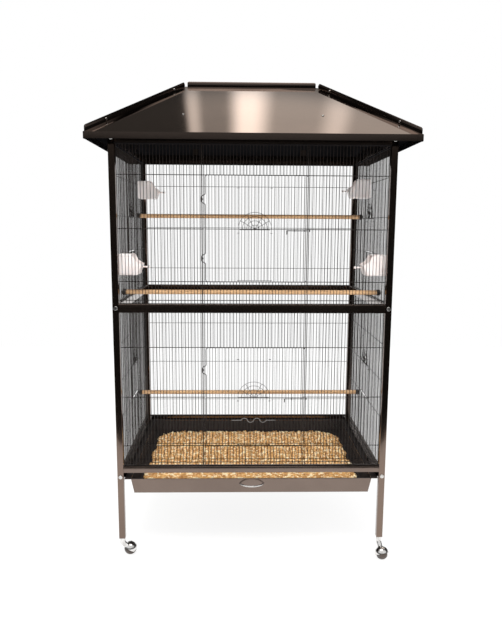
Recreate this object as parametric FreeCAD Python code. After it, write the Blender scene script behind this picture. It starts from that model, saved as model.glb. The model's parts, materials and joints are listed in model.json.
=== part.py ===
import FreeCAD, Part
import math
import os

# Two-storey wire aviary on casters, with a hipped sheet roof and a pull-out litter tray.
# Millimetres, +Z up, the front faces -Y, and the origin is on the floor under the middle.

V = FreeCAD.Vector

# Frame
cage_width = 1087.0  # over the corner posts
cage_depth = 800.0
post_size = 25.0
tube_wall = 1.5
caster_height = 84.0  # floor to the end of a leg
channel_base = 339.0  # floor to the underside of a side channel
channel_height = 21.5
channel_sheet = 1.5
channel_lower_leg = 44.0
channel_upper_leg = 36.5
front_rail_lift = 29.0  # front base rail above the channel's underside, room for the tray
base_rail_height = 26.0
lower_storey = 628.0
mid_rail_height = 33.0
upper_storey = 603.0
top_rail_height = 43.0

# Wire work
wire = 2.0
wire_pitch = 12.6
rail_bar_rise = 14.0  # first cross wire above a rail
door_columns = 31
door_height = 404.0
door_rise_lower = 84.0
door_rise_upper = 87.0
door_hinge_from_middle = 196.0
plate_gap = 1.0  # between sliding or swinging wire work and what it lies on
back_rise_lower = 88.5
back_bar_step = 204.0
back_bar_count = 3
feed_columns = 10
feed_bar = 4.0  # heavy top bar of a lift-up door
side_feed_height = 152.4
side_feed_rise_lower = 219.5
side_feed_rise_upper = 186.6
side_bar_above = 152.0
fan_rings = 4
fan_ring_step = 16.0
fan_spokes = 7
place_tolerance = 0.02  # for comparing places of wires

# Door hardware
hinge_rod = 4.0
stop_rod = 3.0  # heavy upright behind the door's free edge
hinge_eye_wall = 2.0
hinge_eye_height = 8.0
hinge_eye_inset = 90.0  # from the door's top and bottom edges
running_gap = 0.1
latch_rod = 3.0
latch_length = 78.0
latch_drop = 5.0  # below the door's middle bar
latch_grip = 14.0
latch_guide_wall = 1.6
latch_guide_length = 5.0
latch_guide_columns = (-5, -2)  # door wires that carry the guides
keeper_length = 6.0
keeper_gap = 2.5
clip_arm = 1.5
clip_lip = 2.5
clip_height = 6.0
clip_from_top = 18.0  # guide at the opening's top
clip_rise = 1.75  # highest guide, in heights of the opening
slide_gap = 0.5
foot_gap = 0.3  # lift-up door above the foot of its guide
scroll_wire = 2.5
scroll_bow = 25.0  # chord of one bow of the scroll
scroll_bows = 4
scroll_angle = 70.0
scroll_reach = 38.0  # straight end on each side
scroll_height = 108.0  # above the lower door's edge

# Roof
eave_overhang = 69.0
fascia_lap = 7.0  # fascia's lower edge above the top rail's lower edge
fascia_height = 24.0
roof_rise = 256.0
ridge_length = 568.0
roof_sheet = 1.2
hip_cap_height = 21.0  # upright strips along the hips and the ridge
ridge_cap_height = 20.0
seam_width = 8.0
ridge_cap_length = 552.0
hip_cap_from_eave = 8.0  # along the hip
hip_cap_from_ridge = 12.0
seam_bolt_from_eave = 120.0
seam_bolt_from_ridge = 86.0
seam_bolt_rise = 9.0  # above the hip
seam_bolt_end = 5.0  # bolt past the strip
corner_cap = 20.0
corner_cap_wall = 2.0
corner_cap_round = 5.0
bracket_width = 25.0
bracket_sheet = 2.0
bracket_reach = 106.0
bracket_front = 269.0  # from the middle, front and back
bracket_side = 200.0  # from the middle, left and right

# Floor, tray and litter
grate_pitch = 25.4
grate_wire = 3.0
grate_bars = (164.0, 352.0, 540.0)  # cross bars, from the cage's front
tray_depth_down = 65.0
tray_half_gap = 2.5  # rim to post
tray_side_rim = 26.0
tray_back_rim = 18.0
tray_front_rim = 4.0
tray_taper = 11.0
tray_sheet = 1.2
rim_play = 0.3
tray_back_gap = 2.0
litter_depth = 12.0
handle_width = 103.0
handle_bow = 30.0
handle_wire = 6.0
handle_drop = 24.0  # below the rim

# Perches and cups
perch_diameter = 19.0
perch_cap_diameter = 25.0
perch_cap_length = 12.0
perch_cap_floor = 5.0
perch_stud = 5.0
perch_washer = 18.0
perch_washer_thick = 3.0
perch_high = (172.0, 345.5)  # place in depth, height above the storey's rail
perch_front = (-240.0, 31.0)
perch_low = (132.0, 198.5)
cup_width = 88.0
cup_reach = 96.0
cup_height = 82.0
cup_hood = 58.0
cup_slope_end = 74.0
cup_slope_height = 54.0
cup_lip = 41.0
cup_toe = 14.0
cup_wall = 2.0
peg_diameter = 6.0
peg_length = 20.0
peg_ball = 10.0
cup_rise_high = 426.0  # above the mid rail
cup_rise_front = 109.0
cup_high_depth = {"left": 235.0, "right": 34.0}
cup_front_depth = {"left": -318.0, "right": -318.0}

# Casters and screws
wheel_diameter = 50.0
wheel_width = 34.0
hood_gap = 1.5
hood_wall = 2.5
hood_skirt = 5.0  # hood below the axle
hood_opening = 32.0  # tilt of the hood's two rims, in degrees
axle_diameter = 6.0
caster_trail = 34.0
neck_diameter = 22.0
neck_length = 22.0
stem_diameter = 8.0
stem_length = 28.0
socket_length = 34.0
socket_play = 0.05
stem_end_gap = 1.0
shoulder_gap = 0.3  # caster's neck below the end of the leg
caster_angles = {"front_left": 38.0, "front_right": -78.0, "back_left": 150.0, "back_right": 40.0}
screw_head = 16.0
screw_head_height = 3.0
screw_shank = 5.0
screw_length = 30.0
screw_play = 0.2
roof_screw_head = 9.0
roof_screw_length = 8.0

# Places worked out from the sizes above
half_width = cage_width / 2
half_depth = cage_depth / 2
post_x = half_width - post_size / 2
post_y = half_depth - post_size / 2
inner_x = half_width - post_size
inner_y = half_depth - post_size
channel_top = channel_base + channel_height
front_base_bottom = channel_base + front_rail_lift
front_base_top = front_base_bottom + base_rail_height
mid_bottom = front_base_top + lower_storey
mid_top = mid_bottom + mid_rail_height
top_bottom = mid_top + upper_storey
top_top = top_bottom + top_rail_height
fascia_bottom = top_bottom + fascia_lap
eave_z = fascia_bottom + fascia_height
ridge_z = eave_z + roof_rise
eave_x = half_width + eave_overhang
eave_y = half_depth + eave_overhang
front_pitch = math.atan2(roof_rise, eave_y)
side_pitch = math.atan2(roof_rise, eave_x - ridge_length / 2)
wire_r = wire / 2
door_y = -post_y - wire_r - hinge_rod / 2  # plane of the front doors and their hinge rods
storeys = ("lower", "upper")
sides = {"left": -1, "right": 1}
corners = {"front_left": (-1, -1), "front_right": (1, -1), "back_left": (-1, 1), "back_right": (1, 1)}
door_bottom = {"lower": front_base_top + door_rise_lower, "upper": mid_top + door_rise_upper}
feed_bottom = {"lower": channel_top + side_feed_rise_lower, "upper": mid_top + side_feed_rise_upper}


def spread(clear, pitch):
    """Places of evenly pitched wires, centred in a clear width."""
    count = int((clear - wire) / pitch)
    return [(i - count / 2) * pitch for i in range(count + 1)]


def nearest(places, value):
    return min(places, key=lambda place: abs(place - value))


def gap_near(places, value):
    """Middle of the gap between wires that is nearest to a value."""
    return nearest([(a + b) / 2 for a, b in zip(places, places[1:])], value)


front_wires = spread(cage_width - 2 * post_size, wire_pitch)
side_wires = spread(cage_depth - 2 * post_size, wire_pitch)
hinge_x = gap_near(front_wires, -door_hinge_from_middle)
door_wires = [hinge_x + wire_pitch * (i + 1) for i in range(door_columns + 1)]
feed_first = (door_columns - feed_columns) // 2
feed_wires = door_wires[feed_first:feed_first + feed_columns + 1]
side_feed_wires = [y for y in side_wires if abs(y) <= (feed_columns + 1) / 2 * wire_pitch]


def box(x0, x1, y0, y1, z0, z1):
    low = V(min(x0, x1), min(y0, y1), min(z0, z1))
    return Part.makeBox(abs(x1 - x0), abs(y1 - y0), abs(z1 - z0), low)


def rod(start, end, radius):
    return Part.makeCylinder(radius, (end - start).Length, start, end - start)


def joined(shapes):
    return shapes[0].fuse(shapes[1:]).removeSplitter()


def polygon(points):
    return Part.makePolygon(points + points[:1])


def between(low, high):
    """Closed solid between two outlines with the same number of corners."""
    faces = [Part.Face(polygon(low)), Part.Face(polygon(high))]
    count = len(low)
    for i in range(count):
        j = (i + 1) % count
        faces.append(Part.Face(polygon([low[i], low[j], high[j], high[i]])))
    solid = Part.Solid(Part.Shell(faces))
    if solid.Volume < 0:
        solid.reverse()
    return solid


def rectangle(u0, u1, w0, w1):
    return polygon([V(u0, w0, 0), V(u1, w0, 0), V(u1, w1, 0), V(u0, w1, 0)])


def hole(u0, u1, w0, w1):
    """Outline of a gap between wires, run the other way round than the plate's edge."""
    return polygon([V(u0 + wire_r, w0 + wire_r, 0), V(u0 + wire_r, w1 - wire_r, 0),
                    V(u1 - wire_r, w1 - wire_r, 0), V(u1 - wire_r, w0 + wire_r, 0)])


def wire_plate(us, ws, openings, thickness):
    """Flat wire work: wires on the places us and ws, with wire-free openings between named wires."""
    tiny = place_tolerance
    holes = [hole(*opening) for opening in openings]
    for u0, u1 in zip(us, us[1:]):
        for w0, w1 in zip(ws, ws[1:]):
            free = [o for o in openings if o[0] < u0 + tiny and u1 < o[1] + tiny
                    and o[2] < w0 + tiny and w1 < o[3] + tiny]
            if not free:
                holes.append(hole(u0, u1, w0, w1))
    outline = rectangle(us[0] - wire_r, us[-1] + wire_r, ws[0] - wire_r, ws[-1] + wire_r)
    return Part.Face([outline] + holes).extrude(V(0, 0, thickness))


def stand_across(shape, thickness, y):
    """Stand a flat shape up across the cage, its middle at depth y."""
    place = FreeCAD.Placement(V(0, y + thickness / 2, 0), FreeCAD.Rotation(V(1, 0, 0), 90))
    return shape.transformed(place.toMatrix(), copy=True)


def stand_along(shape, thickness, x):
    """Stand a flat shape up along the cage's depth, its middle at x."""
    place = FreeCAD.Placement(V(x - thickness / 2, 0, 0), FreeCAD.Rotation(V(1, 1, 1), 120))
    return shape.transformed(place.toMatrix(), copy=True)


def screw(point, outward, length, width):
    """Round-headed screw, its head standing on the point."""
    head = Part.makeCylinder(width / 2, screw_head_height, point, outward)
    head = head.makeChamfer(screw_head_height / 3, [head.Edges[0]])
    shank = Part.makeCylinder(screw_shank / 2, length, point, outward * -1)
    return joined([head, shank])


def screw_hole(point, outward, length):
    radius = screw_shank / 2 + screw_play
    return Part.makeCylinder(radius, 2 * length, point + outward * length, outward * -1)


def post_screws():
    """Places and directions of the screws through the posts into the side rails."""
    levels = [channel_base + channel_height / 2, (mid_bottom + mid_top) / 2, (top_bottom + top_top) / 2]
    places = []
    for sx, sy in corners.values():
        for z in levels:
            places.append((V(sx * post_x, sy * half_depth, z), V(0, sy, 0)))
    return places


def post(sx, sy):
    x, y, r = sx * post_x, sy * post_y, post_size / 2
    inner = r - tube_wall
    tube = box(x - r, x + r, y - r, y + r, caster_height, top_top)
    tube = tube.cut(box(x - inner, x + inner, y - inner, y + inner, caster_height, top_top))
    return tube.cut([screw_hole(point, out, screw_length) for point, out in post_screws()])


def rail(along_x, place, z0, z1):
    """Rectangular tube between two posts."""
    r = post_size / 2
    w = tube_wall
    if along_x:
        tube = box(-inner_x, inner_x, place - r, place + r, z0, z1)
        return tube.cut(box(-inner_x, inner_x, place - r + w, place + r - w, z0 + w, z1 - w))
    tube = box(place - r, place + r, -inner_y, inner_y, z0, z1)
    return tube.cut(box(place - r + w, place + r - w, -inner_y, inner_y, z0 + w, z1 - w))


def side_channel(side):
    """C channel between the posts: the grate lies on its upper leg, the tray's rim on its lower leg."""
    outer = side * half_width
    web = box(outer, outer - side * channel_sheet, -inner_y, inner_y, channel_base, channel_top)
    lower = box(outer, outer - side * channel_lower_leg, -inner_y, inner_y,
                channel_base, channel_base + channel_sheet)
    upper = box(outer, outer - side * channel_upper_leg, -inner_y, inner_y,
                channel_top - channel_sheet, channel_top)
    return joined([web, lower, upper])


door_levels = [0.0, door_height / 2, door_height]  # cross wires above the door's lower edge
latch_y = door_y - wire_r - slide_gap - latch_rod / 2
latch_tip = V(door_wires[-1] - wire_r, latch_y, door_height / 2 - latch_drop)


def raised(shape, z):
    return shape.translated(V(0, 0, z))


def edge_bars(low, high, bars):
    return [low + wire_r] + bars + [high - wire_r]


def front_panel(storey):
    bars = [door_bottom[storey] + level for level in door_levels]
    low, high = {"lower": (front_base_top, mid_bottom), "upper": (mid_top, top_bottom)}[storey]
    first = nearest(front_wires, hinge_x + wire_pitch / 2)
    last = nearest(front_wires, first + door_columns * wire_pitch)
    ws = edge_bars(low, high, [low + rail_bar_rise] + bars)
    doorway = (first, last, bars[0], bars[-1])
    plate = stand_across(wire_plate(front_wires, ws, [doorway], wire), wire, -post_y)
    foot = V(door_wires[-1], -post_y, low)
    return plate.fuse(rod(foot, V(foot.x, foot.y, high), stop_rod / 2))


def back_panel(storey):
    low, high = {"lower": (channel_top, mid_bottom), "upper": (mid_top, top_bottom)}[storey]
    rise = {"lower": back_rise_lower, "upper": door_rise_upper}[storey]
    bars = [low + rise + back_bar_step * i for i in range(back_bar_count)]
    return stand_across(wire_plate(front_wires, edge_bars(low, high, bars), [], wire), wire, post_y)


def side_panel(side, storey):
    low, high = {"lower": (channel_top, mid_bottom), "upper": (mid_top, top_bottom)}[storey]
    feed = feed_bottom[storey]
    bars = [feed, feed + side_feed_height, feed + side_feed_height + side_bar_above]
    opening = (side_feed_wires[0], side_feed_wires[-1], bars[0], bars[1])
    plate = wire_plate(side_wires, edge_bars(low, high, bars), [opening], wire)
    return stand_along(plate, wire, side * post_x)


def fan():
    """Flat half-round ornament: half rings on spokes, standing on the u axis."""
    arcs = []
    for i in range(fan_rings):
        radius = fan_ring_step * (i + 1)
        outer = Part.makeCylinder(radius + wire_r, wire, V(), V(0, 0, 1), 180)
        arcs.append(outer.cut(Part.makeCylinder(radius - wire_r, wire)))
    reach = fan_ring_step * fan_rings
    for i in range(fan_spokes):
        spoke = Part.makeBox(reach, wire, wire, V(0, -wire_r, 0))
        spoke.rotate(V(), V(0, 0, 1), 180 * i / (fan_spokes - 1))
        arcs.append(spoke)
    return joined(arcs)


def feed_plate(us, height):
    """Lift-up door: wires under a heavy top bar, drawn flat from its lower edge."""
    rows = [wire_r, height - wire_r]
    plate = wire_plate(us, rows, [], wire)
    bar = Part.makeBox(us[-1] - us[0] + wire, feed_bar, wire, V(us[0] - wire_r, height - feed_bar, 0))
    return plate.fuse(bar).removeSplitter()


# Lower edge of a lift-up door above the opening's lower wire: the foot of its guide is between
feed_foot = wire_r + plate_gap + clip_arm + foot_gap


def guide_clip(edge, way, low, high, foot):
    """Guide of a lift-up door's edge, drawn flat: u across, w up, thickness away from the carrier.

    It stands on the carrier's face, passes beside the door's edge and hooks over it.
    """
    outer = edge + way * (slide_gap + clip_arm)
    back = plate_gap + wire + slide_gap
    arm = box(edge + way * slide_gap, outer, low, high, -wire, back + clip_arm)
    lip = box(edge - way * clip_lip, outer, low, high, back, back + clip_arm)
    pieces = [arm, lip]
    base = edge + way * -wire
    pieces.append(box(base, outer, low, high, -wire, 0))
    if foot:
        pieces.append(box(edge - way * clip_lip, outer, low, low + clip_arm, 0, back + clip_arm))
    return joined(pieces)


def guide_levels(bottom, height, foot_at):
    """Lower ends of the guides at one edge, the first one with a foot."""
    return [(foot_at, True), (bottom + height - clip_from_top, False), (bottom + clip_rise * height, False)]


def front_door(ornament):
    """Wire door with its ornament, hinge eyes, latch guides and the guides of its lift-up door."""
    low, middle, high = door_levels
    opening = (feed_wires[0], feed_wires[-1], low, middle)
    flat = wire_plate(door_wires, door_levels, [opening], wire)
    pieces = [stand_across(flat, wire, door_y)]
    arch = stand_across(ornament, wire, door_y - wire)
    arch.translate(V((feed_wires[0] + feed_wires[-1]) / 2, 0, middle))
    pieces.append(arch)
    bore = hinge_rod / 2 + running_gap
    eye = bore + hinge_eye_wall
    bores = []
    for z in (low + hinge_eye_inset, high - hinge_eye_inset):
        start = V(hinge_x, door_y, z - hinge_eye_height / 2)
        end = V(hinge_x, door_y, z + hinge_eye_height / 2)
        pieces.append(rod(start, end, eye))
        near, far = hinge_x + bore, door_wires[0]
        pieces.append(box(near, far, door_y - wire_r, door_y + wire_r, z - wire, z + wire))
        bores.append(rod(start, end, bore))
    for place in [door_wires[column] for column in latch_guide_columns]:
        start = V(place - latch_guide_length / 2, latch_tip.y, latch_tip.z)
        end = V(place + latch_guide_length / 2, latch_tip.y, latch_tip.z)
        guide_bore = latch_rod / 2 + running_gap
        pieces.append(rod(start, end, guide_bore + latch_guide_wall))
        bores.append(rod(start, end, guide_bore))
    foot_at = low + wire_r + plate_gap
    for edge, way in ((feed_wires[0] - wire_r, -1), (feed_wires[-1] + wire_r, 1)):
        for z, foot in guide_levels(low, door_height / 2, foot_at):
            clip = guide_clip(edge, way, z, z + clip_height, foot)
            turned = stand_across(clip.mirror(V(), V(0, 0, 1)), 0, door_y + wire_r)
            pieces.append(turned)
    return joined(pieces).cut(bores)


def front_feed_door():
    height = door_height / 2 - feed_foot + wire_r
    return stand_across(feed_plate(feed_wires, height), wire, door_y + wire + plate_gap)


def side_feed_door(side):
    height = side_feed_height - feed_foot + wire_r
    return stand_along(feed_plate(side_feed_wires, height), wire, side * (post_x + wire + plate_gap))


def side_feed_guides():
    """Guides of the lift-up doors on the outer faces of the side panels."""
    clips = []
    for side in sides.values():
        for storey in storeys:
            bottom = feed_bottom[storey]
            foot_at = bottom + wire_r + plate_gap
            for edge, way in ((side_feed_wires[0] - wire_r, -1), (side_feed_wires[-1] + wire_r, 1)):
                for z, foot in guide_levels(bottom, side_feed_height, foot_at):
                    clip = guide_clip(edge, way, z, z + clip_height, foot)
                    clip = clip.cut(box(edge - way * wire, edge, z, z + clip_height, -wire, 0))
                    clip = stand_along(clip, 0, post_x + wire_r)
                    if side < 0:
                        clip = clip.mirror(V(), V(1, 0, 0))
                    clips.append(clip)
    return Part.makeCompound(clips)


def side_fans(ornament):
    """Ornaments on the inner faces of the side panels."""
    shapes = []
    for side in sides.values():
        arch = stand_along(ornament, wire, side * (post_x - wire))
        shapes += [raised(arch, feed_bottom[storey] + side_feed_height) for storey in storeys]
    return Part.makeCompound(shapes)


def hinge_rods():
    spans = ((front_base_top, mid_bottom), (mid_top, top_bottom))
    rods = [rod(V(hinge_x, door_y, low), V(hinge_x, door_y, high), hinge_rod / 2) for low, high in spans]
    return Part.makeCompound(rods)


def door_latch():
    tail = latch_tip - V(latch_length, 0, 0)
    grip = tail - V(0, 0, latch_grip)
    pieces = [rod(tail, latch_tip, latch_rod / 2), rod(grip, tail, latch_rod / 2)]
    pieces.append(Part.makeSphere(latch_rod / 2, tail))
    return joined(pieces)


def latch_keepers():
    """Rings on the front panels that take the latch rods' tips."""
    start = latch_tip + V(wire + keeper_gap, 0, 0)
    end = start + V(keeper_length, 0, 0)
    half = latch_rod / 2
    bore = half + slide_gap
    foot = box(start.x, end.x, latch_tip.y, -post_y - wire_r, latch_tip.z - half, latch_tip.z + half)
    ring = joined([rod(start, end, bore + latch_guide_wall), foot]).cut(rod(start, end, bore))
    return Part.makeCompound([raised(ring, door_bottom[storey]) for storey in storeys])


def scroll_lock():
    """Wavy wire across the lower door's lift-up door, lying on the door's front."""
    r = scroll_wire / 2
    y = door_y - wire_r - r
    z = door_bottom["lower"] + scroll_height
    angle = math.radians(scroll_angle)
    radius = scroll_bow / 2 / math.sin(angle)
    left = (feed_wires[0] + feed_wires[-1]) / 2 - scroll_bow * scroll_bows / 2
    right = left + scroll_bow * scroll_bows
    pieces = [rod(V(left - scroll_reach, y, z), V(left, y, z), r),
              rod(V(right, y, z), V(right + scroll_reach, y, z), r)]
    for i in range(scroll_bows):
        way = 1 if i % 2 == 0 else -1
        start = V(left + scroll_bow * i, y, z)
        end = start + V(scroll_bow, 0, 0)
        top = start + V(scroll_bow / 2, 0, way * radius * (1 - math.cos(angle)))
        path = Part.Wire([Part.Arc(start, top, end).toShape()])
        lean = V(math.cos(angle), 0, way * math.sin(angle))
        section = Part.Wire([Part.makeCircle(r, start, lean)])
        pieces.append(path.makePipeShell([section], True, False))
        pieces.append(Part.makeSphere(r, start))
    pieces.append(Part.makeSphere(r, V(right, y, z)))
    return joined(pieces)


def roof_points(offset):
    """Eave corner (x, y) and ridge end (x, z) of the hipped roof, moved outwards by an offset."""
    x = eave_x + offset / math.sin(side_pitch)
    y = eave_y + offset / math.sin(front_pitch)
    top = ridge_z + offset / math.cos(front_pitch)
    end = x - (top - eave_z) / math.tan(side_pitch)
    return x, y, end, top


def long_slope(offset, way):
    x, y, end, top = roof_points(offset)
    return [V(-x, way * y, eave_z), V(x, way * y, eave_z), V(end, 0, top), V(-end, 0, top)]


def short_slope(offset, way):
    x, y, end, top = roof_points(offset)
    return [V(way * x, -y, eave_z), V(way * x, y, eave_z), V(way * end, 0, top)]


def at_height(points, z):
    return [V(p.x, p.y, z) for p in points]


def roof_slope(outline, way):
    """Sheet slope with the fascia folded down from its eave."""
    inner, outer = outline(0, way), outline(roof_sheet, way)
    edge = [inner[0], inner[1], outer[1], outer[0]]
    fascia = between(at_height(edge, fascia_bottom), edge)
    sheet = joined([between(inner, outer), fascia])
    return sheet.cut([screw_hole(p, out, roof_screw_length) for p, out in bracket_screws()])


def hip_line(sx, sy):
    """Ends of a hip on the sheets' outer faces: eave corner and ridge end."""
    x, y, end, top = roof_points(roof_sheet)
    return V(sx * x, sy * y, eave_z), V(sx * end, 0, top)


def hip_point(sx, sy, distance):
    corner, ridge = hip_line(sx, sy)
    return corner + (ridge - corner).normalize() * distance


def across_hip(sx, sy):
    """Level direction square to a hip, towards its long slope."""
    corner, ridge = hip_line(sx, sy)
    run = ridge - corner
    return V(-sx * abs(run.y), sy * abs(run.x), 0).normalize()


def hip_cap(sx, sy):
    """Upright strip along a hip, standing on both slopes."""
    corner, ridge = hip_line(sx, sy)
    side = across_hip(sx, sy) * (seam_width / 2)
    on_long = side - V(0, 0, abs(side.y) * math.tan(front_pitch))
    on_short = side * -1 - V(0, 0, abs(side.x) * math.tan(side_pitch))
    top = V(0, 0, hip_cap_height)
    section = [V(), on_long, side + top, top - side, on_short]
    ends = (hip_cap_from_eave, (ridge - corner).Length - hip_cap_from_ridge)
    cap = between(*[[hip_point(sx, sy, distance) + p for p in section] for distance in ends])
    return cap.cut([screw_hole(p, out, seam_width) for p, out in seam_bolts()])


def ridge_cap():
    """Upright strip along the ridge, standing on both long slopes."""
    top = roof_points(roof_sheet)[3]
    half = seam_width / 2
    fall = half * math.tan(front_pitch)
    crest = top + ridge_cap_height
    section = [(0, top), (half, top - fall), (half, crest), (-half, crest), (-half, top - fall)]
    face = Part.Face(polygon([V(-ridge_cap_length / 2, y, z) for y, z in section]))
    return face.extrude(V(ridge_cap_length, 0, 0))


def corner_caps():
    """Rounded caps round the fascia's corners."""
    x, y = roof_points(roof_sheet)[:2]
    caps = []
    for sx, sy in corners.values():
        outer = box(sx * (x - corner_cap), sx * (x + corner_cap_wall), sy * (y - corner_cap),
                    sy * (y + corner_cap_wall), fascia_bottom, eave_z)
        edges = [e for e in outer.Edges if abs(e.CenterOfMass.x) > x and abs(e.CenterOfMass.y) > y]
        outer = outer.makeFillet(corner_cap_round, edges)
        inner = box(0, sx * x, 0, sy * y, fascia_bottom, eave_z)
        caps.append(outer.cut(inner))
    return Part.makeCompound(caps)


def slope_normal(along_x, way):
    pitch = front_pitch if along_x else side_pitch
    flat = V(0, way, 0) if along_x else V(way, 0, 0)
    return flat * math.sin(pitch) + V(0, 0, math.cos(pitch))


def seam_bolts():
    """Two level bolts through each hip cap, headed on the long slope's side."""
    places = []
    for sx, sy in corners.values():
        corner, ridge = hip_line(sx, sy)
        out = across_hip(sx, sy)
        for distance in (seam_bolt_from_eave, (ridge - corner).Length - seam_bolt_from_ridge):
            point = hip_point(sx, sy, distance) + V(0, 0, seam_bolt_rise)
            places.append((point + out * (seam_width / 2), out))
    return places


def bracket_places():
    """Long side or not, outward way, place along the side."""
    places = [(True, way, along * bracket_front) for way in (-1, 1) for along in (-1, 1)]
    return places + [(False, way, along * bracket_side) for way in (-1, 1) for along in (-1, 1)]


def bracket_screws():
    places = []
    for along_x, way, along in bracket_places():
        pitch = front_pitch if along_x else side_pitch
        inward = eave_overhang + bracket_reach - bracket_width / 2
        z = eave_z + inward * math.tan(pitch)
        out = slope_normal(along_x, way)
        flat = V(along, way * (eave_y - inward), z) if along_x else V(way * (eave_x - inward), along, z)
        places.append((flat + out * roof_sheet, out))
    return places


def roof_screws():
    bolts = [screw(p, out, seam_width + seam_bolt_end, roof_screw_head) for p, out in seam_bolts()]
    return bolts + [screw(p, out, roof_screw_length, roof_screw_head) for p, out in bracket_screws()]


def roof_bracket(along_x, way, along):
    """Folded strip from a top rail up to the underside of a slope."""
    pitch = front_pitch if along_x else side_pitch
    slope = math.tan(pitch)
    thick = bracket_sheet / math.cos(pitch)
    start = eave_overhang + tube_wall
    rise = eave_overhang + post_size / 2
    back = rise + bracket_sheet
    end = eave_overhang + bracket_reach
    profile = [(start, top_top), (back, top_top), (back, eave_z + back * slope - thick),
               (end, eave_z + end * slope - thick), (end, eave_z + end * slope),
               (rise, eave_z + rise * slope), (rise, top_top + bracket_sheet),
               (start, top_top + bracket_sheet)]
    half = bracket_width / 2
    if along_x:
        points = [V(along - half, way * (eave_y - d), z) for d, z in profile]
        solid = Part.Face(polygon(points)).extrude(V(bracket_width, 0, 0))
    else:
        points = [V(way * (eave_x - d), along - half, z) for d, z in profile]
        solid = Part.Face(polygon(points)).extrude(V(0, bracket_width, 0))
    return solid.cut([screw_hole(p, out, roof_screw_length) for p, out in bracket_screws()])


def floor_grate():
    half = inner_x - wire
    count = int(2 * half / grate_pitch)
    us = [(i - count / 2) * grate_pitch for i in range(count + 1)]
    us = [-half + wire_r] + us[1:-1] + [half - wire_r]
    edge = inner_y - wire
    ws = [-edge] + [place - half_depth for place in grate_bars] + [edge]
    grate = wire_plate(us, ws, [], grate_wire)
    grate.translate(V(0, 0, channel_top))
    return grate


rim_half = inner_x - tray_half_gap
tray_half = rim_half - tray_side_rim
rim_back = inner_y - tray_back_gap
tray_back = rim_back - tray_back_rim
tray_front = -half_depth + tray_front_rim
rim_bottom = channel_base + channel_sheet + rim_play
rim_top = rim_bottom + tray_sheet
tray_bottom = rim_top - tray_depth_down


def tray_section(z, wall):
    """Outline of the tapered pan at a height, moved in by a wall."""
    inset = tray_taper * (rim_top - z) / tray_depth_down + wall
    x, front, back = tray_half - inset, tray_front + inset, tray_back - inset
    return [V(-x, front, z), V(x, front, z), V(x, back, z), V(-x, back, z)]


def ring_sides(outer, inner):
    """Outlines of the four mitred sides between two rectangles."""
    return [[outer[i - 1], outer[i], inner[i], inner[i - 1]] for i in range(len(outer))]


def litter_tray():
    """Floor sheet, four leaning wall sheets on it and four rim strips on their upper edges."""
    floor = tray_bottom + tray_sheet
    feet, tops = [ring_sides(tray_section(z, 0), tray_section(z, tray_sheet)) for z in (floor, rim_bottom)]
    edge = [(-rim_half, -half_depth), (rim_half, -half_depth), (rim_half, rim_back), (-rim_half, rim_back)]
    strips = ring_sides([V(x, y, rim_bottom) for x, y in edge], tray_section(rim_bottom, tray_sheet))
    sheets = [between(tray_section(tray_bottom, 0), tray_section(floor, 0))]
    sheets += [between(foot, top) for foot, top in zip(feet, tops)]
    sheets += [between(strip, at_height(strip, rim_top)) for strip in strips]
    return Part.makeCompound(sheets)


def litter_bed():
    floor = tray_bottom + tray_sheet
    return between(tray_section(floor, tray_sheet), tray_section(floor + litter_depth, tray_sheet))


def tray_handle():
    """Bow handle on the tray's front wall, its ends cut to the wall's lean."""
    z = rim_top - handle_drop
    wall = tray_section(z, 0)[0].y
    root = wall + handle_wire
    start, end = V(-handle_width / 2, root, z), V(handle_width / 2, root, z)
    top = V(0, wall - handle_bow, z)
    arc = Part.Arc(start, top, end)
    lean = arc.tangent(arc.FirstParameter)[0]
    section = Part.Wire([Part.makeCircle(handle_wire / 2, start, lean)])
    bow = Part.Wire([arc.toShape()]).makePipeShell([section], True, False)
    return bow.cut(between(tray_section(tray_bottom, 0), tray_section(rim_top, 0)))


perch_places = [
    (gap_near(side_wires, perch_high[0]), mid_top + perch_high[1]),
    (gap_near(side_wires, perch_front[0]), mid_top + perch_front[1]),
    (gap_near(side_wires, perch_low[0]), channel_top + perch_low[1]),
]
panel_inner = post_x - wire_r
cup_places = {"high": (cup_high_depth, cup_rise_high), "front": (cup_front_depth, cup_rise_front)}


def perch(y, z):
    reach = panel_inner - perch_cap_floor
    return rod(V(-reach, y, z), V(reach, y, z), perch_diameter / 2)


def perch_caps():
    """Cups on the perches' ends, against the inner faces of the side panels."""
    caps = []
    for y, z in perch_places:
        for side in sides.values():
            foot = V(side * panel_inner, y, z)
            rim = V(side * (panel_inner - perch_cap_length), y, z)
            seat = V(side * (panel_inner - perch_cap_floor), y, z)
            cap = rod(foot, rim, perch_cap_diameter / 2)
            caps.append(cap.cut([rod(seat, rim, perch_diameter / 2), rod(foot, seat, perch_stud / 2)]))
    return Part.makeCompound(caps)


def perch_bolts():
    """Studs through the side panels, each with a washer head outside."""
    bolts = []
    for y, z in perch_places:
        for side in sides.values():
            seat = V(side * (panel_inner - perch_cap_floor), y, z)
            face = V(side * (post_x + wire_r), y, z)
            end = V(side * (post_x + wire_r + perch_washer_thick), y, z)
            bolts.append(joined([rod(seat, end, perch_stud / 2), rod(face, end, perch_washer / 2)]))
    return Part.makeCompound(bolts)


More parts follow.
